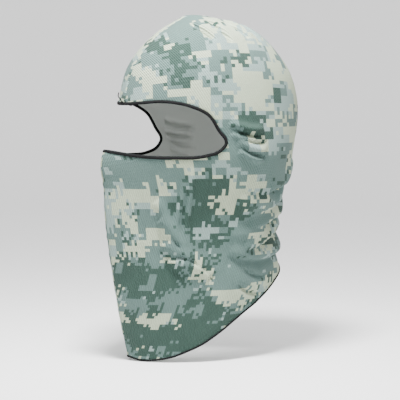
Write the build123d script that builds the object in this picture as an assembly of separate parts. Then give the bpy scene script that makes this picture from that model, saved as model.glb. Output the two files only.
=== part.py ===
from build123d import *
from functools import cache
from math import cos, hypot, radians, sin, sqrt
import os

# A one-hole balaclava of thin stretch fabric, in the shape it takes on a head: two mirrored
# side panels, sewn together from the forehead over the crown to the nape, and from the nose
# down to the front corner of the bib. Every seam allowance and raw edge is overlocked.
#
# Millimetres, +Z up, the face looks along -Y and the wearer's left is +X. The origin is on
# the symmetry plane, at the inner face of the crown, where the top of the head bears.

# ---------------------------------------------------------------- driving dimensions
CLOTH = 1.2  # thickness of one fabric ply
SEAM_GAP = 0.05  # from the symmetry plane to each panel's sewn edge
ALLOWANCE = 5.0  # how far a seam allowance stands in from the cloth's inner face
OVERLOCK_COVER = 2.6  # width of an overlocked edge
OVERLOCK_WALL = 0.6  # thickness of the thread round a cloth edge
EYE_TOP_COVER = 3.0  # the upper edge of the eye opening is overlocked a little wider
CLEARANCE = 0.05  # between the thread and the cloth it wraps
KNOT_RADIUS = 1.5  # knot where the overlock of the eye opening starts and ends
KNOT_CENTRE = (-103.3, -91)  # (y, z) of the knot, just in front of the forehead seam
TAIL_RADIUS = 0.5  # thread left hanging on that knot
TAIL_ROUTE = [(0, 0), (-1.8, 3.2), (-4.6, 6.2), (-4.4, 10.4)]  # the tail, (y, z) from the knot

# Horizontal sections of the outer surface, from below the hem to the crown, as
# (height, y of the front, y of the widest point, y of the back, half width, front roundness).
# A roundness of 2 is an ellipse, and a lower one is tented like cloth stretched over a nose.
SECTIONS = [
    (-410, -82, -45, 70, 38, 1.50),
    (-365, -94.5, -30, 77, 46, 1.50),
    (-320, -105.5, -18, 82, 54, 1.49),
    (-280, -113, -6, 82, 58, 1.47),
    (-245, -119, 2, 75, 58, 1.45),
    (-212, -123, 7, 71, 61, 1.42),
    (-180, -124.5, 10, 76, 71.5, 1.40),
    (-150, -127, 10, 85, 80, 1.40),
    (-121, -111, 8, 95, 79.5, 1.65),
    (-90, -101, 5, 97, 77, 2.05),
    (-60, -93, 1, 89, 73, 2.10),
    (-35, -77, -2, 71, 63, 2.10),
    (-17, -57, -8, 51, 48.5, 2.04),
    (-8, -43, -13, 29, 34, 2.00),
    (-3, -34.5, -17, 7, 21, 2.00),
    (0, -29.5, -19, -9, 11, 2.00),
]
DOME_BASE = -85.0  # above this height the surface begins to face upwards
ANGLES = (0, 7, 18, 32, 47, 66, 90, 115, 140, 162, 174, 180)  # from the front to the back

# Outlines in side view, as (y, z).
HEM = [(-108, -345), (-92, -358), (-70, -356), (-45, -346), (0, -317), (42, -290), (95, -254)]
EYE_TOP = [(-104, -92.5), (-79, -90), (-57, -94.5), (-39, -104), (-29, -119), (-21, -132)]
EYE_BOTTOM = [(-21, -132), (-27, -140), (-42, -145.5), (-70, -147), (-100, -145.5), (-122, -141)]
FAR = 200.0  # cutters reach this far past the object
DEEP = -430.0  # bottom of the cutter below the hem


# ---------------------------------------------------------------- the surface
def section(height, front, middle, back, width, roundness, inset):
    """The left half of one horizontal section, moved inwards along the surface normal."""
    rise = max(0.0, (height - DOME_BASE) / (CLOTH - DOME_BASE))
    move = inset * sqrt(1 - rise * rise)
    points = []
    for angle in ANGLES:
        ahead = angle < 90
        reach = middle - front if ahead else back - middle
        power = 2 / roundness if ahead else 1
        across = abs(sin(radians(angle))) ** power
        along = abs(cos(radians(angle))) ** power * (-1 if ahead else 1)
        x = 0 if angle in (0, 180) else (width - move) * across
        points.append((x, middle + (reach - move) * along, height - inset * rise))
    outline = Spline(*points)
    return make_face([outline.edge(), Line(points[-1], points[0]).edge()])


@cache
def hull(inset):
    """Left half of the solid whose surface lies inset within the outer face of the cloth."""
    return loft([section(*row, inset) for row in SECTIONS])


def profile(inset):
    """That solid's silhouette on the symmetry plane."""
    return hull(inset).faces().sort_by(Axis.X)[0]


def layer(outer, inner):
    """Left half of everything between two depths below the outer face of the cloth."""
    return hull(outer) - hull(inner)


def fin(outer, inner, half_width):
    """Rib standing in from the cloth on the symmetry plane, between two depths."""
    rib = [extrude(profile(i), amount=half_width, dir=(1, 0, 0)) for i in (outer, inner)]
    return rib[0] - rib[1]


def both_sides(half):
    """A left half joined to its mirror image."""
    return half + mirror(half, about=Plane.YZ)


# ---------------------------------------------------------------- cutters
def shifted(points, amount):
    """An open side-view outline moved to its left, point by point."""
    moved = []
    for i, (y, z) in enumerate(points):
        y_before, z_before = points[max(0, i - 1)]
        y_after, z_after = points[min(len(points) - 1, i + 1)]
        run = hypot(y_after - y_before, z_after - z_before)
        moved.append(
            (y - (z_after - z_before) / run * amount, z + (y_after - y_before) / run * amount)
        )
    return moved


def prism(curves, corners):
    """Side-view outline of smooth curves, closed through corners and extended along X."""
    edges = [Spline(*[(0, y, z) for y, z in curve]).edge() for curve in curves]
    chain = [curves[-1][-1]] + corners + [curves[0][0]]
    for start, end in zip(chain, chain[1:]):
        edges.append(Line((0, *start), (0, *end)).edge())
    return extrude(make_face(edges), amount=FAR, dir=(1, 0, 0), both=True)


def below_hem(rise):
    """Everything under a line that runs rise above the finished hem."""
    line = shifted(HEM, rise)
    corners = [(FAR, line[-1][1]), (FAR, DEEP), (-FAR, DEEP), (-FAR, line[0][1])]
    return prism([line], corners)


def eye_cut(top_margin, bottom_margin):
    """The eye opening from side to side, wider than the finished one by two margins."""
    top = shifted(EYE_TOP, top_margin)
    bottom = shifted(EYE_BOTTOM, bottom_margin)
    corner_y, corner_z = EYE_TOP[-1]
    corner = (corner_y + (top_margin + bottom_margin) / 2, corner_z)
    top[-1], bottom[0] = corner, corner
    return prism([top, bottom], [(-FAR, bottom[-1][1]), (-FAR, top[0][1])])


# ---------------------------------------------------------------- parts
def left_panel():
    """Wearer's-left cloth panel with its allowance turned in along the symmetry plane."""
    panel = layer(0, CLOTH) + fin(CLOTH / 2, CLOTH + ALLOWANCE, SEAM_GAP + CLOTH)
    panel = panel - eye_cut(EYE_TOP_COVER, OVERLOCK_COVER) - below_hem(OVERLOCK_COVER)
    return panel - Box(2 * SEAM_GAP, 3 * FAR, 5 * FAR)


def seam_overlocks():
    """Thread round the edges of both allowances: over the crown, and down the face."""
    end = CLOTH + ALLOWANCE
    pocket_half_width = SEAM_GAP + CLOTH + CLEARANCE
    thread = fin(end - OVERLOCK_COVER, end + OVERLOCK_WALL, pocket_half_width + OVERLOCK_WALL)
    thread = thread - fin(end - 2 * OVERLOCK_COVER, end + CLEARANCE, pocket_half_width)
    thread = thread - eye_cut(EYE_TOP_COVER, OVERLOCK_COVER) - below_hem(OVERLOCK_COVER)
    pieces = both_sides(thread).solids().sort_by(SortBy.VOLUME)
    return pieces[-1], pieces[-2]


def edging(band):
    """Raw cloth edge rolled up in its overlock thread, a little thicker than the cloth."""
    return both_sides(layer(-OVERLOCK_WALL, CLOTH + OVERLOCK_WALL) & band)


def thread_tail():
    """Knot and short loose thread at the forehead end of the eye opening's overlock."""
    y, z = KNOT_CENTRE
    route = Spline(*[(0, y + dy, z + dz) for dy, dz in TAIL_ROUTE])
    tail = sweep(Plane(route @ 0, z_dir=route % 0) * Circle(TAIL_RADIUS), path=route)
    return Pos(0, y, z) * Sphere(KNOT_RADIUS) + tail


def main():
    os.makedirs("parts", exist_ok=True)
    left = left_panel()
    crown_seam, face_seam = seam_overlocks()
    eye_band = eye_cut(EYE_TOP_COVER - CLEARANCE, OVERLOCK_COVER - CLEARANCE) - eye_cut(0, 0)
    hem_band = below_hem(OVERLOCK_COVER - CLEARANCE) - below_hem(0)
    nodes = {
        "left_side_panel": left,
        "right_side_panel": mirror(left, about=Plane.YZ),
        "crown_seam_overlock": crown_seam,
        "face_seam_overlock": face_seam,
        "eye_opening_edging": edging(eye_band),
        "bottom_hem_edging": edging(hem_band),
        "forehead_thread_tail": thread_tail(),
    }
    for name, shape in nodes.items():
        export_step(shape, f"parts/{name}.step")
        print(name, round(shape.volume), shape.bounding_box().size, len(shape.solids()))


main()
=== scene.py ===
"""Looks of a worn digital-camouflage balaclava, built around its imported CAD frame.

The cloth is made as two half hoods over the CAD shape, sculpted with the tension folds of
stretch fabric on a head, printed with a blocky camouflage and edged in black overlock.
Lengths are millimetres and become metres in to_mesh(), except where a comment says metres.
"""

import math

import bpy
import numpy as np
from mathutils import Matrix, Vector


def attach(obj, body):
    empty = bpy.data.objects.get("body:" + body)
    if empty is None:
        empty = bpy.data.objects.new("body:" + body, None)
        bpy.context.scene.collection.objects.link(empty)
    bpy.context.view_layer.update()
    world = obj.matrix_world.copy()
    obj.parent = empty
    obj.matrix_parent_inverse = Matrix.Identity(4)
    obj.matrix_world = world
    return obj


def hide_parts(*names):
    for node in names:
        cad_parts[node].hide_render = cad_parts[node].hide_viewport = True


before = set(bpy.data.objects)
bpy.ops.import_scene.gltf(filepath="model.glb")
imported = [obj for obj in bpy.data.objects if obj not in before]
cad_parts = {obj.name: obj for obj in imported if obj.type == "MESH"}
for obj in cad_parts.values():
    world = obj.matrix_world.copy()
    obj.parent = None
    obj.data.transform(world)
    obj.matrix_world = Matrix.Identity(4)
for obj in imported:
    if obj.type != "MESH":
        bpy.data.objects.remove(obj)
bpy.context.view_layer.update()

# ---------------------------------------------------------------- driving dimensions
MM = 0.001
CLOTH = 0.8  # thickness of the fabric
CELL = 1.6  # about the spacing of the cloth's mesh
COLUMN_RUN = 310.0  # sets the number of columns: longer than any row, so they are closer than CELL
ALLOWANCE = 5.5  # depth of the seam allowances inside the hood
SEAM_HALF_GAP = 0.12  # from the symmetry plane to each allowance
SEAM_RADIUS = 1.6  # how tightly the cloth rolls into the seam
THREAD_STEP = 0.32  # spacing of the rings of a ribbed thread
EYE_BAND = (3.4, 2.6)  # width and thickness of the overlock round the eye opening
HEM_BAND = (2.0, 1.7)  # the same of the overlock along the hem
SEAM_RAIL = (1.5, 1.9)  # half width and half depth of the overlock on the allowances
WRAP_PITCH = 1.45  # spacing of the overlock's wraps
ALLOWANCE_ROWS = 4  # rows of faces across an allowance
ALLOWANCE_CELL = 4.0  # size of a cell of the print on an allowance
SEAM_BREAK = 4 * CELL  # points of a seam's edge that are further apart have the eye opening between
EDGE_REACH = 3 * CELL  # border points this near to an outline are moved onto it
ON_EDGE = 0.02  # points this near to an outline are on it
CROWN_GAP = 0.6  # from the top row of points to the very top, along the cloth
FOLD_FADE = (2, 26)  # half widths of the head between which folds fade out towards the crown
FACE_SEAM_BACK = -60  # y that the face seam stays in front of
EAR_HEIGHT = -112.0  # the print runs straight round the head at this height
HEAD_RADIUS = 80.0  # turns a straight distance across the head into one along the cloth
PRINT_CELLS = [(-132, 4.2), (-182, 3.5), (-252, 2.9)]  # (height, cell): more stretch, bigger cells
PRINT_UNIT = 100.0  # cells of the print, or millimetres of cloth, in one unit of their coordinates
SHARED_SEED = 21  # unevenness of the cloth, the same on both sides, so that they meet
RIGHT_PRINT_SHIFT = (64, 31)  # the right panel is cut from another place of the printed cloth
RIB_PITCH = 2.7  # from one slanting rib of the knit to the next, round the head
RIB_SLANT = 0.62  # how far a rib moves round the head in each millimetre of height
DIMPLE_PITCH = 1.4  # from one small dimple of the knit to the next in its row
KNOT_CENTRE = (-103.3, -91)  # (y, z) of the knot, as in the CAD
TAIL_RADIUS = 0.5  # of the thread of the loose end and the knot
TAIL_ROUTE = [(0, 0), (-1.8, 3.2), (-4.6, 6.2), (-4.4, 10.4)]  # (y, z) from the knot
TAIL_DRIFT = 0.4  # how far each point of that route lies to the left of the one before
SURROUND = 1.45  # brightness of the sky
BOWL = (3.4, 1.3)  # in metres: radius of the bowl it stands in, and of the bend up to its wall
LAMP_PLACE = (0.20, -0.16, 0.40)  # in metres, as are the next two
LAMP_AIM = (0, 0, -0.15)
LAMP_WIDTH = 0.16
LAMP_POWER = 19.0  # in watts
DEEPEST_FOLD = 8.0  # folds that meet add up to no more than this
TIGHTNESS = 2.6  # scales the depth of every fold
VIEW_AZIMUTH = math.radians(62)
VIEW_ELEVATION = math.radians(4)
VIEW_DISTANCE = 1.6  # from the camera to the object, in metres
VIEW_WIDTH = 0.428  # of the picture at the object, in metres
TARGET_ACROSS = -10.7  # of the picture's centre, along its right-hand direction
TARGET_HEIGHT = -195.3
FLOOR_GAP = 0.0022  # from the lowest point of HEM down to the floor, in metres: room for overlock
EDGE_SMOOTHING = 60  # passes that relax the stair-steps of the mesh out of a bound edge
SEAM_SMOOTHING = 40  # the same for the overlock of a seam

# Sections of the outer surface, as in the CAD: (height, y of the front, y of the widest
# point, y of the back, half width, roundness of the front). The last one is not in the CAD:
# it closes the crown to a point.
SECTIONS = [
    (-410, -82, -45, 70, 38, 1.50),
    (-365, -94.5, -30, 77, 46, 1.50),
    (-320, -105.5, -18, 82, 54, 1.49),
    (-280, -113, -6, 82, 58, 1.47),
    (-245, -119, 2, 75, 58, 1.45),
    (-212, -123, 7, 71, 61, 1.42),
    (-180, -124.5, 10, 76, 71.5, 1.40),
    (-150, -127, 10, 85, 80, 1.40),
    (-121, -111, 8, 95, 79.5, 1.65),
    (-90, -101, 5, 97, 77, 2.05),
    (-60, -93, 1, 89, 73, 2.10),
    (-35, -77, -2, 71, 63, 2.10),
    (-17, -57, -8, 51, 48.5, 2.04),
    (-8, -43, -13, 29, 34, 2.00),
    (-3, -34.5, -17, 7, 21, 2.00),
    (0, -29.5, -19, -9, 11, 2.00),
    (1.2, -20, -20, -20, 0, 2.00),
]
HEM = [(-108, -345), (-92, -358), (-70, -356), (-45, -346), (0, -317), (42, -290), (95, -254)]
EYE_TOP = [(-104, -92.5), (-79, -90), (-57, -94.5), (-39, -104), (-29, -119), (-21, -132)]
EYE_BOTTOM = [(-21, -132), (-27, -140), (-42, -145.5), (-70, -147), (-100, -145.5), (-122, -141)]


# ---------------------------------------------------------------- curves
def unit(vectors):
    """The same directions at length 1."""
    return vectors / np.maximum(np.linalg.norm(vectors, axis=-1, keepdims=True), 1e-9)


def length_along(points):
    """Distance along a line from its start to each of its points."""
    return np.concatenate([[0], np.cumsum(np.linalg.norm(np.diff(points, axis=0), axis=1))])


def smooth_curve(points, count):
    """A cubic curve through the points, evenly parameterised by chord length."""
    points = np.array(points, float)
    steps = np.linalg.norm(np.diff(points, axis=0), axis=1)
    knots = np.concatenate([[0], np.cumsum(steps)])
    slopes = np.gradient(points, knots, axis=0)
    t = np.linspace(0, knots[-1], count)
    i = np.clip(np.searchsorted(knots, t, side="right") - 1, 0, len(steps) - 1)
    h = steps[i][:, None]
    s = ((t - knots[i]) / steps[i])[:, None]
    start = (1 + 2 * s) * (1 - s) ** 2 * points[i] + s * (1 - s) ** 2 * h * slopes[i]
    end = s * s * (3 - 2 * s) * points[i + 1] + s * s * (s - 1) * h * slopes[i + 1]
    return start + end


TABLE = smooth_curve(SECTIONS, 900)
TABLE = TABLE[np.concatenate([[True], np.diff(np.maximum.accumulate(TABLE[:, 0])) > 1e-9])]
HEM_CURVE = smooth_curve(HEM, 400)
EYE_CURVE = smooth_curve(EYE_TOP + EYE_BOTTOM[1:], 600)


def section_at(z):
    """Front, middle, back, half width and roundness of the section at each height."""
    return [np.interp(z, TABLE[:, 0], TABLE[:, k]) for k in range(1, 6)]


def side_x(y, z):
    """How far the surface stands out from the symmetry plane at a place in side view."""
    front, middle, back, width, roundness = section_at(z)
    ahead = np.clip((middle - y) / np.maximum(middle - front, 1e-6), 0, 1)
    behind = np.clip((y - middle) / np.maximum(back - middle, 1e-6), 0, 1)
    front_x = (1 - ahead**roundness) ** (1 / roundness)
    back_x = np.sqrt(1 - behind**2)
    return width * np.where(y < middle, front_x, back_x)


def smoothstep(low, high, value):
    """0 at low and 1 at high, with a smooth change between them."""
    t = np.clip((value - low) / (high - low), 0, 1)
    return t * t * (3 - 2 * t)


# ---------------------------------------------------------------- folds
# Places on the unrolled panel are (round, height) in millimetres. Up to the ear, round is the
# distance from the side line of the head, negative towards the face, and height is as in the
# CAD. Above it, both are measured along the cloth from the ear, so the crown is higher there.
# A ridge is round, a crease is a sharp valley and a tuck is cloth hanging over a line.
def arc(start, end, sag, count=5):
    """A line from start to end that hangs sag below its chord in the middle."""
    t = np.linspace(0, 1, count)
    line = np.outer(1 - t, start) + np.outer(t, end)
    line[:, 1] -= 4 * sag * t * (1 - t)
    return line


def spread(kind, rise, width, starts, ends, sag, random):
    """Folds that run between two rows of places, each a little different."""
    made = []
    for start, end in zip(starts, ends):
        start = np.array(start) + random.uniform(-2.5, 2.5, 2)
        end = np.array(end) + random.uniform(-4, 4, 2)
        size = random.uniform(0.75, 1.2)
        made.append((kind, rise * size, width * random.uniform(0.85, 1.2), arc(start, end, sag)))
    return made


def row(start, step, count):
    """Evenly spaced places."""
    return [(start[0] + step[0] * k, start[1] + step[1] * k) for k in range(count)]


def pull_from_eye(random):
    """The bound opening pulls the cloth back from its outer corner, over the temple."""
    corner = row((-26, -112), (3, -9), 4)
    behind = row((14, -118), (-1, -11), 4)
    folds = spread("ridge", 2.0, 3.4, corner, behind, 3, random)
    between = row((-22, -118), (3, -9), 3)
    return folds + spread("crease", 3.4, 3.0, between, row((12, -124), (0, -10), 3), 3, random)


def pull_from_seam(random):
    """Short creases that the crown seam gathers, running down and back from it."""
    tops = row((-52, 14), (22, 4), 4)
    ends = row((-34, -22), (22, 2), 4)
    return spread("crease", 4.2, 4.0, tops, ends, 2, random)


def slack_under_skull(random):
    """Cloth that the back of the head holds out and the nape lets fall, in tucks."""
    backs = row((98, -146), (-4, -22), 4)
    fronts = row((22, -182), (-6, -20), 4)
    tucks = spread("tuck", 6.4, 5.5, backs, fronts, 6, random)
    fronts = row((40, -196), (8, -26), 2)
    return tucks + spread("ridge", 2.4, 4.0, row((70, -150), (6, -30), 2), fronts, 0, random)


def slack_at_neck(random):
    """One long fold from the nape to under the jaw, and the pocket that hangs below it."""
    long = spread("tuck", 9.0, 7.0, [(100, -240)], [(-14, -248)], 12, random)
    behind = row((46, -274), (-6, -14), 2)
    pocket = spread("crease", 3.6, 4.2, row((10, -266), (0, -16), 2), behind, 3, random)
    upper = spread("crease", 2.6, 3.6, [(66, -222)], [(14, -236)], 6, random)
    return long + pocket + upper


def pull_from_nose(random):
    """Slanting folds from the tip of the nose and the chin towards the neck."""
    tops = row((-104, -190), (9, -22), 4)
    ends = row((-62, -246), (12, -8), 4)
    folds = spread("ridge", 3.6, 4.4, tops, ends, -4, random)
    below = row((-62, -236), (-9, 0), 2)
    upright = spread("ridge", 1.0, 2.4, row((-66, -156), (-9, -14), 2), below, 0, random)
    behind = row((-52, -262), (14, -6), 3)
    hollows = spread("crease", 4.4, 5.0, row((-92, -214), (12, -16), 3), behind, -4, random)
    return folds + upright + hollows


def cheek(random):
    """Broad soft swells where the cloth lies over the cheek."""
    swells = spread("ridge", 1.7, 7.0, row((-14, -196), (0, -28), 2), row((32, -192), (0, -26), 2), 3, random)
    return swells + spread("crease", 1.4, 5.5, [(-12, -182)], [(34, -180)], 3, random)


def folds_of(seed):
    """All the folds of one panel."""
    random = np.random.RandomState(seed)
    groups = (pull_from_eye, pull_from_seam, slack_under_skull, slack_at_neck, pull_from_nose, cheek)
    return [fold for group in groups for fold in group(random)]


def fold_height(around, height, folds, samples=48):
    """How far the folds move each place outwards."""
    moved = np.zeros(around.shape)
    for kind, rise, width, route in folds:
        line = smooth_curve(route, samples)
        along = unit(np.gradient(line, axis=0))
        gap_a = around[:, None] - line[None, :, 0]
        gap_b = height[:, None] - line[None, :, 1]
        best = (gap_a**2 + gap_b**2).argmin(axis=1)
        here = np.arange(len(around))
        far = np.hypot(gap_a[here, best], gap_b[here, best])
        side = np.sign(along[best, 0] * gap_b[here, best] - along[best, 1] * gap_a[here, best])
        place = best / (samples - 1)
        taper = np.clip(4 * place * (1 - place), 0, 1) ** 0.5
        ridge = np.exp(-((far / width) ** 2))
        crease = np.exp(-far / width * 1.3)
        if kind == "ridge":
            moved += rise * taper * ridge
        elif kind == "crease":
            moved += rise * taper * (0.35 * np.exp(-((far / (2.4 * width)) ** 2)) - crease)
        else:
            over = np.exp(-far / (1.6 * width))
            under = np.exp(-far / width)
            step = np.tanh(-side * far / 3.0)
            moved += rise * taper * np.where(step > 0, 0.55 * over, -0.45 * under) * np.abs(step)
    return DEEPEST_FOLD * np.tanh(TIGHTNESS * moved / DEEPEST_FOLD)


def value_noise(points, pitch, seed):
    """Smooth random values between -1 and 1 at places in space."""
    table = np.random.RandomState(seed).uniform(-1, 1, (32, 32, 32))
    scaled = points / pitch + 100.0
    low = np.floor(scaled).astype(int)
    t = scaled - low
    t = t * t * (3 - 2 * t)
    total = np.zeros(len(points))
    for dx in (0, 1):
        for dy in (0, 1):
            for dz in (0, 1):
                weight = np.ones(len(points))
                for axis, step in enumerate((dx, dy, dz)):
                    weight = weight * (t[:, axis] if step else 1 - t[:, axis])
                corner = [(low[:, k] + step) % 32 for k, step in enumerate((dx, dy, dz))]
                total += weight * table[corner[0], corner[1], corner[2]]
    return total


# ---------------------------------------------------------------- the cloth
def half_hood():
    """Grid of the wearer's-left panel: (rows, columns, 3), from the front to the back."""
    side = np.column_stack([TABLE[:, 4], TABLE[:, 0]])
    run = length_along(side)
    first = np.interp(min(p[1] for p in HEM) - 2 * CELL, TABLE[:, 0], run)
    rows = int((run[-1] - first) / CELL)
    heights = np.interp(np.linspace(first, run[-1] - CROWN_GAP, rows), run, TABLE[:, 0])
    columns = int(COLUMN_RUN / CELL)
    angle = np.linspace(0, math.pi, 721)
    ahead_half = angle < math.pi / 2
    grid = np.zeros((rows, columns, 3))
    for i, z in enumerate(heights):
        front, middle, back, width, roundness = section_at(z)
        power = np.where(ahead_half, 2 / roundness, 1)
        reach = np.where(ahead_half, middle - front, back - middle)
        x = width * np.abs(np.sin(angle)) ** power
        y = middle - reach * np.sign(np.cos(angle)) * np.abs(np.cos(angle)) ** power
        length = np.concatenate([[0], np.cumsum(np.hypot(np.diff(x), np.diff(y)))])
        even = np.linspace(0, length[-1], columns)
        grid[i, :, 0] = np.interp(even, length, x)
        grid[i, :, 1] = np.interp(even, length, y)
        grid[i, :, 2] = z
    grid[:, 0, 0] = 0
    grid[:, -1, 0] = 0
    return grid


def grid_normals(grid):
    """Outward unit normals of the grid."""
    normal = unit(np.cross(np.gradient(grid, axis=1), np.gradient(grid, axis=0)))
    normal[:, 0, 0] = 0
    normal[:, -1, 0] = 0
    return unit(normal)


def inside_outline(y, z, outline):
    """Which places in side view lie inside a closed outline."""
    inside = np.zeros(y.shape, bool)
    ay, az = outline[-1]
    for by, bz in outline:
        if az != bz:
            reach = (by - ay) * (z - az) / (bz - az) + ay
            inside ^= ((az > z) != (bz > z)) & (y < reach)
        ay, az = by, bz
    return inside


def nearest_on(curve, y, z):
    """Nearest place of a dense side-view curve to each (y, z), and the distance."""
    gap = np.hypot(y[:, None] - curve[None, :, 0], z[:, None] - curve[None, :, 1])
    best = gap.argmin(axis=1)
    return curve[best], gap[np.arange(len(y)), best]


def cut_panel(grid):
    """Cuts the eye opening and the hem out of the grid, moving border points onto both."""
    rows, columns, _ = grid.shape
    y, z = grid[:, :, 1], grid[:, :, 2]
    outline = np.vstack([EYE_CURVE, [(-400, EYE_CURVE[-1, 1]), (-400, EYE_CURVE[0, 1])]])
    hem_z = np.interp(y, HEM_CURVE[:, 0], HEM_CURVE[:, 1])
    gone = inside_outline(y, z, outline) | (z < hem_z)
    quad_gone = gone[:-1, :-1] | gone[1:, :-1] | gone[:-1, 1:] | gone[1:, 1:]
    kept = ~quad_gone
    used = np.zeros((rows, columns), int)
    for di in (0, 1):
        for dj in (0, 1):
            used[di : rows - 1 + di, dj : columns - 1 + dj] += kept
    inner = used > 0
    meeting = np.full((rows, columns), 4)  # faces that meet at each point of the whole grid
    meeting[0, :] = meeting[-1, :] = 2
    meeting[:, 0] = meeting[:, -1] = 2
    meeting[-1, 0] = meeting[-1, -1] = 1
    border = inner & (used < meeting)
    border[-1, :] = False
    moved = grid.copy()
    for curve in (EYE_CURVE, HEM_CURVE):
        near, gap = nearest_on(curve, y[border], z[border])
        close = gap < EDGE_REACH
        cells = np.argwhere(border)[close]
        seam = (cells[:, 1] == 0) | (cells[:, 1] == columns - 1)
        for (i, j), (new_y, new_z), on_seam in zip(cells, near[close], seam):
            if on_seam and curve is HEM_CURVE:
                new_z = hem_z[i, j]
            if on_seam:
                front, _, back = section_at(new_z)[:3]
                moved[i, j] = (0, front if j == 0 else back, new_z)
            else:
                moved[i, j] = (side_x(new_y, new_z), new_y, new_z)
    index = np.full((rows, columns), -1)
    index[inner] = np.arange(inner.sum())
    faces = []
    for i, j in np.argwhere(kept):
        faces.append([index[i, j], index[i, j + 1], index[i + 1, j + 1], index[i + 1, j]])
    return moved, inner, index, faces


def to_mesh(name, points, faces):
    """A new object from points in millimetres."""
    mesh = bpy.data.meshes.new(name)
    mesh.from_pydata((np.asarray(points) * MM).tolist(), [], faces)
    mesh.update()
    made = bpy.data.objects.new(name, mesh)
    bpy.context.scene.collection.objects.link(made)
    return made


def over_head(straight):
    """Distance along the cloth between places that are this far apart in a straight line."""
    return straight * (1 + straight**2 / (24 * HEAD_RADIUS**2))


def unrolled(points):
    """(round, height) of each point on the panel, spread flat from the side of the head."""
    x, y, z = points[:, 0], points[:, 1], points[:, 2]
    _, middle, _, width, _ = section_at(z)
    _, ear_middle, _, ear_width, _ = section_at(EAR_HEIGHT)
    dy, dz = y - ear_middle, z - EAR_HEIGHT
    reach = np.hypot(dy, dz) + 1e-9
    from_ear = over_head(np.hypot(reach, ear_width - x))
    from_side = over_head(np.hypot(y - middle, width - x))
    above = z > EAR_HEIGHT
    around = np.where(above, dy / reach * from_ear, np.sign(y - middle) * from_side)
    return around, np.where(above, EAR_HEIGHT + dz / reach * from_ear, z)


def print_cells(around, height):
    """Place of each point on the printed cloth, in cells of the print from the ear."""
    depths = [-z for z, _ in PRINT_CELLS]
    sizes = [size for _, size in PRINT_CELLS]
    levels = np.linspace(-420, 200, 3101)  # heights that reach past both ends of a panel
    count = np.cumsum(1 / np.interp(-levels, depths, sizes)) * (levels[1] - levels[0])
    count -= np.interp(EAR_HEIGHT, levels, count)
    return np.column_stack([around / np.interp(-height, depths, sizes), np.interp(height, levels, count)])


class Panel:
    """One panel, in the place of the left one: points, print, faces, bound edges and seams."""

    def __init__(self, folds, seed):
        grid = half_hood()
        normals = grid_normals(grid)
        step = np.linalg.norm(np.diff(grid, axis=1), axis=2)
        from_front = np.concatenate([np.zeros((len(grid), 1)), np.cumsum(step, axis=1)], axis=1)
        from_back = from_front[:, -1:] - from_front
        to_seam = np.minimum(from_front, from_back)
        moved, inner, index, self.faces = cut_panel(grid)
        flat = moved[inner]
        around, height = unrolled(flat)
        self.print = print_cells(around, height)
        self.flat = np.column_stack([around, height])
        normal, gap = normals[inner], to_seam[inner]
        lift = fold_height(around, height, folds)
        lift += self.ripples(flat, gap, seed)
        lift *= smoothstep(FOLD_FADE[0], FOLD_FADE[1], section_at(flat[:, 2])[3])
        roll = SEAM_RADIUS - np.sqrt(np.maximum(SEAM_RADIUS**2 - np.maximum(SEAM_RADIUS - gap, 0) ** 2, 0))
        points = flat + normal * (lift - roll)[:, None]
        points[:, 0] += SEAM_HALF_GAP
        self.points, self.normals = points, normal
        self.edges = [self.bound_edge(flat, curve) for curve in (EYE_CURVE, HEM_CURVE)]
        self.seams = []
        for column in (0, grid.shape[1] - 1):
            rows = [i for i in range(len(grid)) if index[i, column] >= 0]
            self.add_allowance([index[i, column] for i in rows], column == 0)

    def ripples(self, flat, gap, seed):
        """Puckers along the seams and the slight unevenness of cloth that hangs free."""
        soft = 0.9 * value_noise(flat, 34.0, seed) + 0.35 * value_noise(flat, 13.0, seed + 1)
        free = smoothstep(-150, -260, flat[:, 2])
        pucker = value_noise(flat * (0.2, 1, 1), 4.6, seed + 2) * np.exp(-gap / 5.0)
        return soft * (0.45 + 1.1 * free) * np.clip(gap / 14, 0, 1) + 0.75 * pucker

    def bound_edge(self, flat, curve):
        """Indices of the points on one bound edge, in order along it."""
        _, distance = nearest_on(curve, flat[:, 1], flat[:, 2])
        on_edge = np.flatnonzero(distance < ON_EDGE)
        gap_y = flat[on_edge, 1][:, None] - curve[None, :, 0]
        gap_z = flat[on_edge, 2][:, None] - curve[None, :, 1]
        return on_edge[np.argsort(np.hypot(gap_y, gap_z).argmin(axis=1))]

    def add_allowance(self, column, in_front):
        """Turns the cloth inwards along one sewn edge of the panel."""
        edge = self.points[column]
        inward = -self.normals[column]
        print_edge, flat_edge = self.print[column], self.flat[column]
        runs = np.linalg.norm(np.diff(edge, axis=0), axis=1)
        previous = list(column)
        for k in range(1, ALLOWANCE_ROWS + 1):
            depth = ALLOWANCE * k / ALLOWANCE_ROWS
            start = len(self.points)
            self.points = np.vstack([self.points, edge + inward * depth])
            self.normals = np.vstack([self.normals, np.tile([-1.0, 0, 0], (len(column), 1))])
            beyond = -depth if in_front else depth
            self.print = np.vstack([self.print, print_edge + (beyond / ALLOWANCE_CELL, 0)])
            self.flat = np.vstack([self.flat, flat_edge + (beyond, 0)])
            current = list(range(start, start + len(column)))
            for i in range(len(column) - 1):
                if runs[i] > SEAM_BREAK:
                    continue
                ring = [current[i], previous[i], previous[i + 1], current[i + 1]]
                self.faces.append(ring if in_front else ring[::-1])
            previous = current
        rail = edge + inward * ALLOWANCE
        breaks = [0] + [i + 1 for i in range(len(runs)) if runs[i] > SEAM_BREAK] + [len(column)]
        for a, b in zip(breaks, breaks[1:]):
            self.seams.append((rail[a:b], inward[a:b]))


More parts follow.
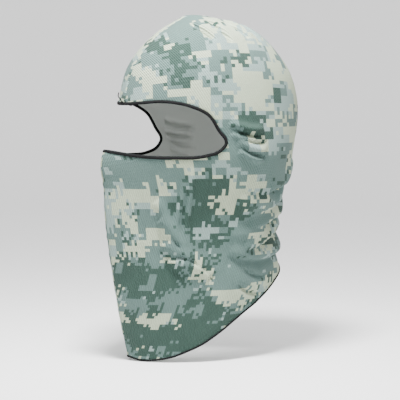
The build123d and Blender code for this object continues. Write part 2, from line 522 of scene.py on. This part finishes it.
def cloth_piece(name, panel, mirror, shift, materials):
    """Mesh object of one panel, with its print coordinates and its thickness."""
    side = -1 if mirror else 1
    points = panel.points * (side, 1, 1)
    faces = [ring[::-1] for ring in panel.faces] if mirror else panel.faces
    piece = to_mesh(name, points, faces)
    corners = np.zeros(len(piece.data.loops), int)
    piece.data.loops.foreach_get("vertex_index", corners)
    for layer, places in (("print", panel.print * (side, 1) + shift), ("cloth", panel.flat)):
        coordinates = piece.data.uv_layers.new(name=layer)
        coordinates.data.foreach_set("uv", (places[corners] / PRINT_UNIT).astype(np.float32).ravel())
    for material in materials:
        piece.data.materials.append(material)
    thick = piece.modifiers.new("thickness", "SOLIDIFY")
    thick.thickness = CLOTH * MM
    thick.offset = -1
    thick.use_rim = True
    thick.material_offset = 1
    bpy.context.view_layer.objects.active = piece
    bpy.ops.object.modifier_apply(modifier=thick.name)
    for face in piece.data.polygons:
        face.use_smooth = True
    return piece


# ---------------------------------------------------------------- thread
def resample(points, step):
    """The same line with points at an even spacing."""
    run = length_along(points)
    even = np.linspace(0, run[-1], max(int(run[-1] / step), 4))
    return np.column_stack([np.interp(even, run, points[:, k]) for k in range(points.shape[1])])


def smoothed(points, passes, closed):
    """Relaxes the stair-steps out of a line."""
    for _ in range(passes):
        before, after = np.roll(points, 1, axis=0), np.roll(points, -1, axis=0)
        even = (before + 2 * points + after) / 4
        if not closed:
            even[0], even[-1] = points[0], points[-1]
        points = even
    return points


def ribbed_tube(name, line, out, half_width, half_depth, closed, sides=14):
    """A band of overlock thread along a line: rounded, with slanted wraps on it."""
    if closed:
        along = unit(np.roll(line, -1, axis=0) - np.roll(line, 1, axis=0))
    else:
        along = unit(np.gradient(line, axis=0))
    out = unit(out - along * (out * along).sum(axis=1, keepdims=True))
    side = np.cross(along, out)
    run = length_along(line)
    count = len(line)
    points = np.zeros((count, sides, 3))
    uneven = np.sin(run * 0.37) * 0.35 + np.sin(run * 0.113 + 1.0) * 0.5
    for k in range(sides):
        angle = 2 * math.pi * k / sides
        turn = run / WRAP_PITCH + k / sides + 0.25 * uneven
        rib = 1 + 0.24 * (np.abs(np.sin(math.pi * turn)) ** 0.7 - 0.6)
        wide = half_width * rib * math.cos(angle)
        deep = half_depth * rib * math.sin(angle)
        points[:, k] = line + side * wide[:, None] + out * deep[:, None]
    faces = []
    last = count if closed else count - 1
    for i in range(last):
        n = (i + 1) % count
        for k in range(sides):
            m = (k + 1) % sides
            faces.append([i * sides + k, i * sides + m, n * sides + m, n * sides + k])
    if not closed:
        faces.append(list(range(sides))[::-1])
        faces.append([(count - 1) * sides + k for k in range(sides)])
    return to_mesh(name, points.reshape(-1, 3), faces)


# ---------------------------------------------------------------- the camera
def make_camera():
    """A long lens from the wearer's left front, a little above."""
    a, e = VIEW_AZIMUTH, VIEW_ELEVATION
    back = Vector((math.sin(a) * math.cos(e), -math.cos(a) * math.cos(e), math.sin(e)))
    right = Vector((math.cos(a), math.sin(a), 0))
    target = right * TARGET_ACROSS * MM + Vector((0, 0, TARGET_HEIGHT * MM))
    data = bpy.data.cameras.new("camera")
    data.sensor_width = 36
    data.lens = data.sensor_width * VIEW_DISTANCE / VIEW_WIDTH
    camera = bpy.data.objects.new("camera", data)
    camera.location = target + back * VIEW_DISTANCE
    camera.rotation_euler = (-back).to_track_quat("-Z", "Y").to_euler()
    bpy.context.scene.collection.objects.link(camera)
    bpy.context.scene.camera = camera


make_camera()


# ---------------------------------------------------------------- materials
def linear(red, green, blue):
    """A colour from its 0 to 255 values."""
    return tuple(((v / 255 + 0.055) / 1.055) ** 2.4 for v in (red, green, blue)) + (1,)


TAN = linear(156, 167, 144)
LIGHT = linear(122, 142, 137)
MID = linear(80, 102, 97)
DARK = linear(44, 66, 58)
# Broad areas that the print leaves mostly dark, in cells from the ear as (round, height, half
# width, half height): on the temple, the cheek, the front of the bib and its lower edge.
DARK_AREAS = [(-2, 0, 5, 4), (-14, -24, 12, 10), (-31, -46, 20, 12), (-19, -65, 30, 13)]
AREA_REACH = 1.35  # where such an area ends, in half widths and half heights from its middle
ONE_CELL = (1.0, 1.0, 1.0)
BLOCK = (3.0, 2.0, 1.0)  # cells that mostly change together


class Nodes:
    """Short ways to add and join shader nodes."""

    def __init__(self, name):
        self.material = bpy.data.materials.new(name)
        self.material.use_nodes = True
        self.tree = self.material.node_tree
        self.shader = self.tree.nodes["Principled BSDF"]

    def join(self, source, socket):
        if isinstance(source, (int, float, tuple)):
            socket.default_value = source
        else:
            self.tree.links.new(source, socket)

    def add(self, kind, **settings):
        made = self.tree.nodes.new(kind)
        for key, value in settings.items():
            setattr(made, key, value)
        return made

    def math(self, operation, a, b=0.0, clamp=False):
        made = self.add("ShaderNodeMath", operation=operation, use_clamp=clamp)
        self.join(a, made.inputs[0])
        self.join(b, made.inputs[1])
        return made.outputs[0]

    def vector(self, operation, a, b):
        made = self.add("ShaderNodeVectorMath", operation=operation)
        self.join(a, made.inputs[0])
        self.join(b, made.inputs[1])
        return made.outputs[0]

    def noise(self, at, scale, detail):
        made = self.add("ShaderNodeTexNoise")
        self.join(at, made.inputs["Vector"])
        made.inputs["Scale"].default_value = scale
        made.inputs["Detail"].default_value = detail
        return made.outputs["Fac"]

    def white(self, at):
        made = self.add("ShaderNodeTexWhiteNoise", noise_dimensions="3D")
        self.join(at, made.inputs["Vector"])
        return made.outputs["Value"]

    def mix(self, share, a, b, blend="MIX"):
        made = self.add("ShaderNodeMix", data_type="RGBA", blend_type=blend)
        self.join(share, made.inputs["Factor"])
        self.join(a, made.inputs["A"])
        self.join(b, made.inputs["B"])
        return made.outputs["Result"]

    def bump(self, height, strength, distance):
        """A bumped normal. Its distance is in metres."""
        made = self.add("ShaderNodeBump")
        made.inputs["Strength"].default_value = strength
        made.inputs["Distance"].default_value = distance
        self.join(height, made.inputs["Height"])
        return made.outputs[0]


def print_layer(nodes, cells, place, stretch, pitch, cover, bias):
    """1 in the cells that one colour of the camouflage covers, in ragged clumps of blocks."""
    moved = nodes.vector("ADD", cells, place)
    blocks = nodes.vector("SNAP", moved, BLOCK)
    fine = nodes.vector("SNAP", moved, ONE_CELL)
    clumps = nodes.noise(nodes.vector("MULTIPLY", blocks, stretch), 1 / pitch, 1.5)
    ragged = nodes.math("MULTIPLY", nodes.math("SUBTRACT", nodes.white(fine), 0.5), 0.07)
    blocky = nodes.math("MULTIPLY", nodes.math("SUBTRACT", nodes.white(blocks), 0.5), 0.10)
    value = nodes.math("ADD", nodes.math("ADD", clumps, ragged), blocky)
    if bias is not None:
        value = nodes.math("ADD", value, bias)
    return nodes.math("GREATER_THAN", value, 1 - cover)


def area_weight(nodes, cells, area):
    """1 in the middle of one broad area, falling to 0 outside it in whole cells."""
    around, height, half_width, half_height = area
    from_middle = nodes.vector("SUBTRACT", cells, (float(around), float(height), 0.0))
    scaled = nodes.vector("DIVIDE", from_middle, (half_width, half_height, 1.0))
    length = nodes.add("ShaderNodeVectorMath", operation="LENGTH")
    nodes.join(scaled, length.inputs[0])
    return nodes.math("SUBTRACT", AREA_REACH, length.outputs["Value"], clamp=True)


def map_position(nodes, layer):
    """A flat place, in cells from the print layer or in millimetres from the cloth layer."""
    source = nodes.add("ShaderNodeUVMap", uv_map=layer)
    return nodes.vector("MULTIPLY", source.outputs[0], (PRINT_UNIT, PRINT_UNIT, 0.0))


def knit_places(nodes):
    """Distances round the head and along its height on the flat cloth, in millimetres."""
    parts = nodes.add("ShaderNodeSeparateXYZ")
    nodes.join(map_position(nodes, "cloth"), parts.inputs[0])
    return parts.outputs[0], parts.outputs[1]


def waves(nodes, at, pitch):
    """A wave between -1 and 1 that repeats after pitch."""
    return nodes.math("SINE", nodes.math("MULTIPLY", at, 2 * math.pi / pitch))


def dimples(nodes, around, height):
    """The small dimples of the knit, in even rows."""
    across, down = waves(nodes, around, DIMPLE_PITCH), waves(nodes, height, DIMPLE_PITCH)
    return nodes.math("MULTIPLY", across, down)


def dark_areas(nodes, cells):
    """How strongly the broad dark areas hold at each place, with frayed borders."""
    whole = nodes.vector("SNAP", cells, ONE_CELL)
    dark = area_weight(nodes, whole, DARK_AREAS[0])
    for area in DARK_AREAS[1:]:
        dark = nodes.math("MAXIMUM", dark, area_weight(nodes, whole, area))
    frayed = nodes.math("MULTIPLY", nodes.math("SUBTRACT", nodes.white(whole), 0.5), 0.5)
    return nodes.math("ADD", dark, frayed, clamp=True)


def camouflage(nodes):
    """Colour of the print: layers of ragged clumps, each in one ink, over the first ink."""
    cells = map_position(nodes, "print")
    dark = dark_areas(nodes, cells)
    less = nodes.math("MULTIPLY", dark, -0.06)
    more = nodes.math("MULTIPLY", dark, 0.36)
    mid = nodes.math("MULTIPLY", dark, 0.16)
    colour = TAN
    # Each layer: ink, place in the noise, how it is squeezed, size of its clumps in cells,
    # cover, which is higher where the ink shows more, and what the dark areas add to that.
    layers = [
        (LIGHT, (11.0, 7.0, 0.0), (1.0, 1.2, 1.0), 11, 0.50, None),
        (MID, (41.0, 23.0, 4.0), (1.0, 1.2, 1.0), 15, 0.49, mid),
        (DARK, (87.0, 52.0, 9.0), (1.0, 1.2, 1.0), 12, 0.33, more),
        (TAN, (133.0, 19.0, 14.0), (0.8, 1.5, 1.0), 12, 0.42, less),
        (LIGHT, (17.0, 71.0, 19.0), (1.0, 1.0, 1.0), 9, 0.35, less),
        (MID, (59.0, 97.0, 26.0), (1.2, 1.0, 1.0), 9, 0.36, None),
        (DARK, (5.0, 37.0, 31.0), (1.2, 1.2, 1.0), 6, 0.29, None),
    ]
    for ink, place, stretch, pitch, cover, bias in layers:
        share = print_layer(nodes, cells, place, stretch, pitch, cover, bias)
        colour = nodes.mix(share, colour, ink)
    return colour


def printed_cloth():
    """The face of the knit: camouflage print over a diagonal rib and a fine dimpled weave, whose hollows are
    painted darker as shade.
    """
    nodes = Nodes("camo_print")
    around, height = knit_places(nodes)
    slant = nodes.math("ADD", around, nodes.math("MULTIPLY", height, RIB_SLANT))
    rib = nodes.math("MULTIPLY", waves(nodes, slant, RIB_PITCH), 0.6)
    weave = nodes.math("ADD", rib, nodes.math("MULTIPLY", dimples(nodes, around, height), 0.4))
    worn = nodes.noise(map_position(nodes, "cloth"), 0.05, 3.0)
    # Painted shade: the colour darkens in the hollows of the rib and the dimples and lightens on their
    # crests; the worn noise varies the tone at random.
    shade = nodes.math("ADD", nodes.math("MULTIPLY", weave, 0.09), nodes.math("MULTIPLY", worn, 0.14))
    colour = nodes.mix(1.0, camouflage(nodes), nodes.math("ADD", shade, 0.93), "MULTIPLY")
    nodes.join(colour, nodes.shader.inputs["Base Color"])
    nodes.join(nodes.math("ADD", nodes.math("MULTIPLY", weave, 0.06), 0.66), nodes.shader.inputs["Roughness"])
    nodes.join(nodes.bump(weave, 0.8, 0.0007), nodes.shader.inputs["Normal"])
    nodes.shader.inputs["Sheen Weight"].default_value = 0.03
    nodes.shader.inputs["Sheen Roughness"].default_value = 0.4
    nodes.shader.inputs["Specular IOR Level"].default_value = 0.2
    return nodes.material


def lining_cloth():
    """The unprinted back of the knit: off-white, with the same dimples showing through as bumps and as
    painted shade in their hollows.
    """
    nodes = Nodes("cloth_lining")
    around, height = knit_places(nodes)
    weave = dimples(nodes, around, height)
    # Painted shade: the colour darkens in the hollows of the dimples.
    shade = nodes.math("ADD", nodes.math("MULTIPLY", weave, 0.05), 0.95)
    nodes.join(nodes.mix(1.0, linear(226, 230, 226), shade, "MULTIPLY"), nodes.shader.inputs["Base Color"])
    nodes.join(nodes.math("ADD", nodes.math("MULTIPLY", weave, 0.05), 0.75), nodes.shader.inputs["Roughness"])
    nodes.join(nodes.bump(weave, 0.5, 0.0003), nodes.shader.inputs["Normal"])
    return nodes.material


def thread_material():
    """Black overlock thread: matt, with fine twist and worn, dusty highs."""
    nodes = Nodes("black_thread")
    place = nodes.add("ShaderNodeTexCoord").outputs["Object"]
    strands = nodes.noise(place, 2600.0, 2.0)
    dust = nodes.noise(place, 160.0, 3.0)
    share = nodes.math("MULTIPLY", dust, strands)
    nodes.join(nodes.mix(share, linear(9, 10, 11), linear(30, 31, 32)), nodes.shader.inputs["Base Color"])
    roughness = nodes.math("ADD", nodes.math("MULTIPLY", strands, 0.15), 0.82)
    nodes.join(roughness, nodes.shader.inputs["Roughness"])
    nodes.join(nodes.bump(strands, 0.6, 0.0002), nodes.shader.inputs["Normal"])
    nodes.shader.inputs["Specular IOR Level"].default_value = 0.15
    return nodes.material


# ---------------------------------------------------------------- the pieces
def panels():
    """Both side panels: the same cut, with their own folds and places of the print."""
    printed, lining = printed_cloth(), lining_cloth()
    made = []
    for side, mirror, seed, shift in (("left", False, 3, (0, 0)), ("right", True, 8, RIGHT_PRINT_SHIFT)):
        panel = Panel(folds_of(seed), SHARED_SEED)
        piece = cloth_piece(side + "_side_cloth", panel, mirror, shift, (printed, lining))
        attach(piece, "root")
        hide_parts(side + "_side_panel")
        made.append(panel)
    return made


def thread_piece(piece, node, material):
    """Finishes one piece of thread, which stands for a CAD node."""
    piece.data.materials.append(material)
    for face in piece.data.polygons:
        face.use_smooth = True
    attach(piece, "root")
    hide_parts(node)


def along_edge(panel, edge, side):
    """Points and normals along one bound edge. side is 1 on the left and -1 on the right."""
    chosen = panel.edges[edge]
    return np.hstack([panel.points[chosen] * (side, 1, 1), panel.normals[chosen] * (side, 1, 1)])


def bound_edges(left, right, material):
    """The overlock round the eye opening and along the hem, over both panels' cut edges."""
    bands = (("eye_opening_edging", EYE_BAND), ("bottom_hem_edging", HEM_BAND))
    for edge, (node, (width, thickness)) in enumerate(bands):
        line = np.vstack([along_edge(left, edge, 1), along_edge(right, edge, -1)[::-1]])
        line = smoothed(resample(line, THREAD_STEP), EDGE_SMOOTHING, True)
        piece = ribbed_tube(node + "_thread", line[:, :3], line[:, 3:], width / 2, thickness / 2, True)
        thread_piece(piece, node, material)


def seam_rails(left, material):
    """The overlock that holds the two allowances of each seam together, inside the hood."""
    names = ("face_seam_overlock", "crown_seam_overlock")
    rails = {name: [] for name in names}
    for rail, inward in left.seams:
        if len(rail) < 4:
            continue
        line = rail.copy()
        line[:, 0] = 0
        in_face = line[:, 1].mean() < FACE_SEAM_BACK and line[:, 2].mean() < EYE_BOTTOM[0][1]
        rails[names[0] if in_face else names[1]].append(np.hstack([line, inward]))
    for name in names:
        for part in rails[name]:
            part[:, 3] = 0
        order = sorted(rails[name], key=lambda part: part[:, 1].mean())
        line = order[0][np.argsort(order[0][:, 2])]
        if len(order) == 2:
            line = np.vstack([line, order[1][np.argsort(-order[1][:, 2])]])
        line = smoothed(resample(line, THREAD_STEP * 1.5), SEAM_SMOOTHING, False)
        piece = ribbed_tube(name + "_thread", line[:, :3], line[:, 3:], SEAM_RAIL[0], SEAM_RAIL[1], False)
        thread_piece(piece, name, material)


def thread_tail(material):
    """The knot and the loose end where the overlock of the eye opening was finished."""
    start = np.array([0, KNOT_CENTRE[0], KNOT_CENTRE[1]])
    route = np.array([(TAIL_DRIFT * k, start[1] + y, start[2] + z) for k, (y, z) in enumerate(TAIL_ROUTE)])
    line = resample(smooth_curve(route, 120), THREAD_STEP / 2)
    out = np.tile([1.0, 0, 0], (len(line), 1))
    tail = ribbed_tube("forehead_tail_thread", line, out, TAIL_RADIUS, TAIL_RADIUS, False)
    turn = np.linspace(0, 2 * math.pi, 160, endpoint=False)
    knot = start + np.column_stack([np.sin(2 * turn), 0.9 * np.cos(3 * turn), 0.9 * np.sin(3 * turn)])
    ball = ribbed_tube("forehead_knot_thread", knot, knot - start + 1e-3, TAIL_RADIUS, TAIL_RADIUS, True)
    for piece in (tail, ball):
        thread_piece(piece, "forehead_thread_tail", material)


left, right = panels()
thread = thread_material()
bound_edges(left, right, thread)
seam_rails(left, thread)
thread_tail(thread)


# ---------------------------------------------------------------- the studio
def white_bowl(floor_height, segments=96):
    """A round floor in metres that curves up into a wall, so that no horizon shows.

    The small hole that its rings leave in the middle is closed by one face.
    """
    bend = np.linspace(0, math.pi / 2, 13)
    radius, height = BOWL
    flat = radius - height
    profile = [(0.002, 0.0)] + [(flat + height * math.sin(t), height * (1 - math.cos(t))) for t in bend]
    profile.append((radius, 2.2 * height))
    points, faces = [], []
    for k in range(segments):
        turn = 2 * math.pi * k / segments
        points += [(r * math.cos(turn), r * math.sin(turn), z + floor_height) for r, z in profile]
    count = len(profile)
    for k in range(segments):
        n = (k + 1) % segments
        for i in range(count - 1):
            faces.append((k * count + i, n * count + i, n * count + i + 1, k * count + i + 1)[::-1])
    faces.append([k * count for k in range(segments)])
    mesh = bpy.data.meshes.new("floor")
    mesh.from_pydata(points, [], faces)
    for face in mesh.polygons:
        face.use_smooth = True
    return mesh


def pale_floor():
    """The bowl under the mask, in matt white."""
    mesh = white_bowl(min(z for _, z in HEM) * MM - FLOOR_GAP)
    floor = bpy.data.objects.new("floor", mesh)
    bpy.context.scene.collection.objects.link(floor)
    white = Nodes("floor")
    white.shader.inputs["Base Color"].default_value = (0.93, 0.93, 0.93, 1)
    white.shader.inputs["Roughness"].default_value = 0.9
    mesh.materials.append(white.material)


def even_sky():
    """White light from all round."""
    world = bpy.data.worlds.new("world")
    world.use_nodes = True
    sky = world.node_tree.nodes["Background"]
    sky.inputs["Color"].default_value = (1, 1, 1, 1)
    sky.inputs["Strength"].default_value = SURROUND
    bpy.context.scene.world = world


def key_lamp():
    """One soft lamp above the wearer's left front."""
    light = bpy.data.lights.new("key", "AREA")
    light.energy = LAMP_POWER
    light.size = LAMP_WIDTH
    lamp = bpy.data.objects.new("key", light)
    lamp.location = LAMP_PLACE
    lamp.rotation_euler = (Vector(LAMP_AIM) - lamp.location).to_track_quat("-Z", "Y").to_euler()
    bpy.context.scene.collection.objects.link(lamp)


pale_floor()
even_sky()
key_lamp()
